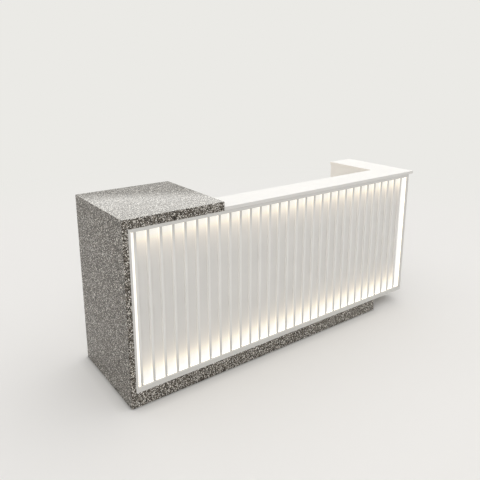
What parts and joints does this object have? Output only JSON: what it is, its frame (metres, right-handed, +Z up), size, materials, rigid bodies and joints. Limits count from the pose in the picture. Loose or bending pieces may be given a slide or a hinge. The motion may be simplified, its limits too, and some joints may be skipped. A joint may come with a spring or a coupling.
{
  "type": "reception desk",
  "caption": "Long reception desk with a stone tower and plinth, a back-lit fluted front, an L-shaped white counter, and a cupboard, drawers and worktop on the staff side.",
  "frame": {"origin": "middle of the footprint, on the floor", "axes": "+X along the desk to the visitor's right, +Y from the visitor's side to the staff side, +Z up"},
  "size_m": [2.415, 0.675, 1.1],
  "materials": {
    "dark_terrazzo": "polished terrazzo with fine dark and light chips",
    "white_solid_surface": "satin acrylic solid surface",
    "white_lacquer": "satin white lacquer on fibreboard",
    "white_melamine": "matt white melamine on particle board",
    "birch_plywood": "clear lacquered birch plywood",
    "white_powder_coat": "white powder coat on extruded aluminium",
    "opal_acrylic": "extruded opal acrylic, lit from behind",
    "led_circuit_strip": "white flexible circuit strip with LEDs",
    "brushed_steel": "brushed or satin plated steel",
    "grey_plastic": "moulded grey plastic"
  },
  "bodies": {
    "desk": {"counter_top": "white_solid_surface", "fluted_panel": "white_lacquer", "frame_bottom_rail": "white_powder_coat", "frame_left_stile": "white_powder_coat", "frame_right_stile": "white_powder_coat", "frame_top_rail": "white_powder_coat", "front_deck": "white_lacquer", "front_wall": "white_lacquer", "grommet_ring": "grey_plastic", "led_diffuser_bottom": "opal_acrylic", "led_diffuser_left": "opal_acrylic", "led_diffuser_right": "opal_acrylic", "led_diffuser_top": "opal_acrylic", "led_driver": "brushed_steel", "led_strip_bottom": "led_circuit_strip", "led_strip_left": "led_circuit_strip", "led_strip_right": "led_circuit_strip", "led_strip_top": "led_circuit_strip", "lower_drawer_left_cabinet_runner": "brushed_steel", "lower_drawer_right_cabinet_runner": "brushed_steel", "lower_hinge_frame_leaf": "brushed_steel", "lower_hinge_pin": "brushed_steel", "pedestal_bottom": "white_lacquer", "pedestal_side": "white_lacquer", "pedestal_toe_kick": "white_melamine", "plinth_end": "dark_terrazzo", "plinth_front": "dark_terrazzo", "return_inner_panel": "white_lacquer", "return_outer_panel": "white_lacquer", "return_rear_panel": "white_lacquer", "stone_side_panel": "dark_terrazzo", "stone_top_slab": "dark_terrazzo", "tower_bottom": "white_melamine", "tower_fixed_shelf": "white_melamine", "tower_inner_side": "white_lacquer", "tower_loose_shelf": "white_melamine", "tower_outer_side": "white_melamine", "tower_toe_kick": "white_melamine", "upper_drawer_left_cabinet_runner": "brushed_steel", "upper_drawer_right_cabinet_runner": "brushed_steel", "upper_hinge_frame_leaf": "brushed_steel", "upper_hinge_pin": "brushed_steel", "worktop": "white_lacquer"},
    "cupboard_door": {"cupboard_door": "white_lacquer", "cupboard_handle": "brushed_steel", "cupboard_lock_housing": "brushed_steel", "lower_hinge_door_leaf": "brushed_steel", "upper_hinge_door_leaf": "brushed_steel"},
    "lock_plug": {"cupboard_lock_plug": "brushed_steel"},
    "upper_drawer": {"upper_drawer_front": "white_lacquer", "upper_drawer_box": "birch_plywood", "upper_drawer_handle": "brushed_steel", "upper_drawer_left_drawer_runner": "brushed_steel", "upper_drawer_right_drawer_runner": "brushed_steel"},
    "lower_drawer": {"lower_drawer_front": "white_lacquer", "lower_drawer_box": "birch_plywood", "lower_drawer_handle": "brushed_steel", "lower_drawer_left_drawer_runner": "brushed_steel", "lower_drawer_right_drawer_runner": "brushed_steel"},
    "grommet_cap": {"grommet_cap": "grey_plastic"}
  },
  "joints": [
    {"name": "cupboard_hinge", "type": "hinge", "parent": "desk", "child": "cupboard_door", "pos_m": [-1.1544, 0.3063, 0.4132], "axis": [0, 0, 1], "range_deg": [0, 110]},
    {"name": "cupboard_lock_turn", "type": "hinge", "parent": "cupboard_door", "child": "lock_plug", "pos_m": [-0.6195, 0.3025, 0.655], "axis": [0, -1, 0], "range_deg": [0, 90]},
    {"name": "upper_drawer_slide", "type": "slide", "parent": "desk", "child": "upper_drawer", "axis": [0, 1, 0], "range_m": [0, 0.34]},
    {"name": "lower_drawer_slide", "type": "slide", "parent": "desk", "child": "lower_drawer", "axis": [0, 1, 0], "range_m": [0, 0.34]},
    {"name": "grommet_cap_turn", "type": "hinge", "parent": "desk", "child": "grommet_cap", "pos_m": [-0.0125, -0.1842, 0.742], "axis": [0, 0, 1], "continuous": true}
  ]
}
